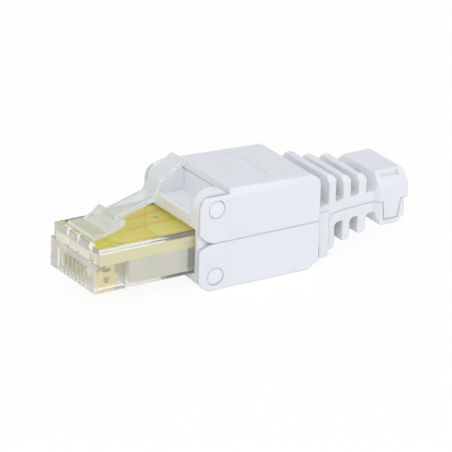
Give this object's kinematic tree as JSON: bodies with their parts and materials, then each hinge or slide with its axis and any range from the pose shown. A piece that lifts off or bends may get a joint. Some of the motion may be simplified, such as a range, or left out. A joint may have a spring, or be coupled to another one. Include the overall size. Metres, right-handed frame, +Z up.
{
  "type": "field termination ethernet plug",
  "caption": "Clear modular network plug with a latch, on a white housing whose two hinged covers close over the wires and grip the cable in a ribbed strain relief.",
  "frame": {"origin": "middle of the plug's length and width, on the surface that it lies on", "axes": "+X runs from the nose to the cable, +Y across, +Z up, with the latch on top"},
  "size_m": [0.05, 0.0144, 0.0173],
  "materials": {
    "clear_plastic": "clear glossy moulding",
    "yellow_board": "yellow lacquered board with copper tracks",
    "milky_plastic": "milky translucent moulding",
    "white_plastic": "cool white satin moulding",
    "gilded_contact": "light gold plating",
    "tinned_contact": "tin plating"
  },
  "bodies": {
    "plug": {"plug_nose": "clear_plastic", "circuit_board": "yellow_board", "contact_holder": "milky_plastic", "carrier_frame": "white_plastic", "upper_terminal_block": "white_plastic", "lower_terminal_block": "white_plastic", "contact_1": "gilded_contact", "contact_2": "gilded_contact", "contact_3": "gilded_contact", "contact_4": "gilded_contact", "contact_5": "gilded_contact", "contact_6": "gilded_contact", "contact_7": "gilded_contact", "contact_8": "gilded_contact", "wire_contact_1": "tinned_contact", "wire_contact_2": "tinned_contact", "wire_contact_3": "tinned_contact", "wire_contact_4": "tinned_contact", "wire_contact_5": "tinned_contact", "wire_contact_6": "tinned_contact", "wire_contact_7": "tinned_contact", "wire_contact_8": "tinned_contact"},
    "latch_lever": {"latch": "clear_plastic"},
    "upper_lid": {"upper_cover": "white_plastic"},
    "lower_lid": {"lower_cover": "white_plastic"}
  },
  "joints": [
    {"name": "latch_press", "type": "hinge", "parent": "plug", "child": "latch_lever", "pos_m": [-0.02368, 0, 0.0092], "axis": [0, 1, 0], "range_deg": [0, 12], "stiffness_Nm_per_rad": 0.4},
    {"name": "upper_cover_hinge", "type": "hinge", "parent": "plug", "child": "upper_lid", "pos_m": [-0.00698, 0, 0.0116], "axis": [0, -1, 0], "range_deg": [0, 70]},
    {"name": "lower_cover_hinge", "type": "hinge", "parent": "plug", "child": "lower_lid", "pos_m": [-0.00698, 0, 0.0019], "axis": [0, 1, 0], "range_deg": [0, 70]}
  ]
}
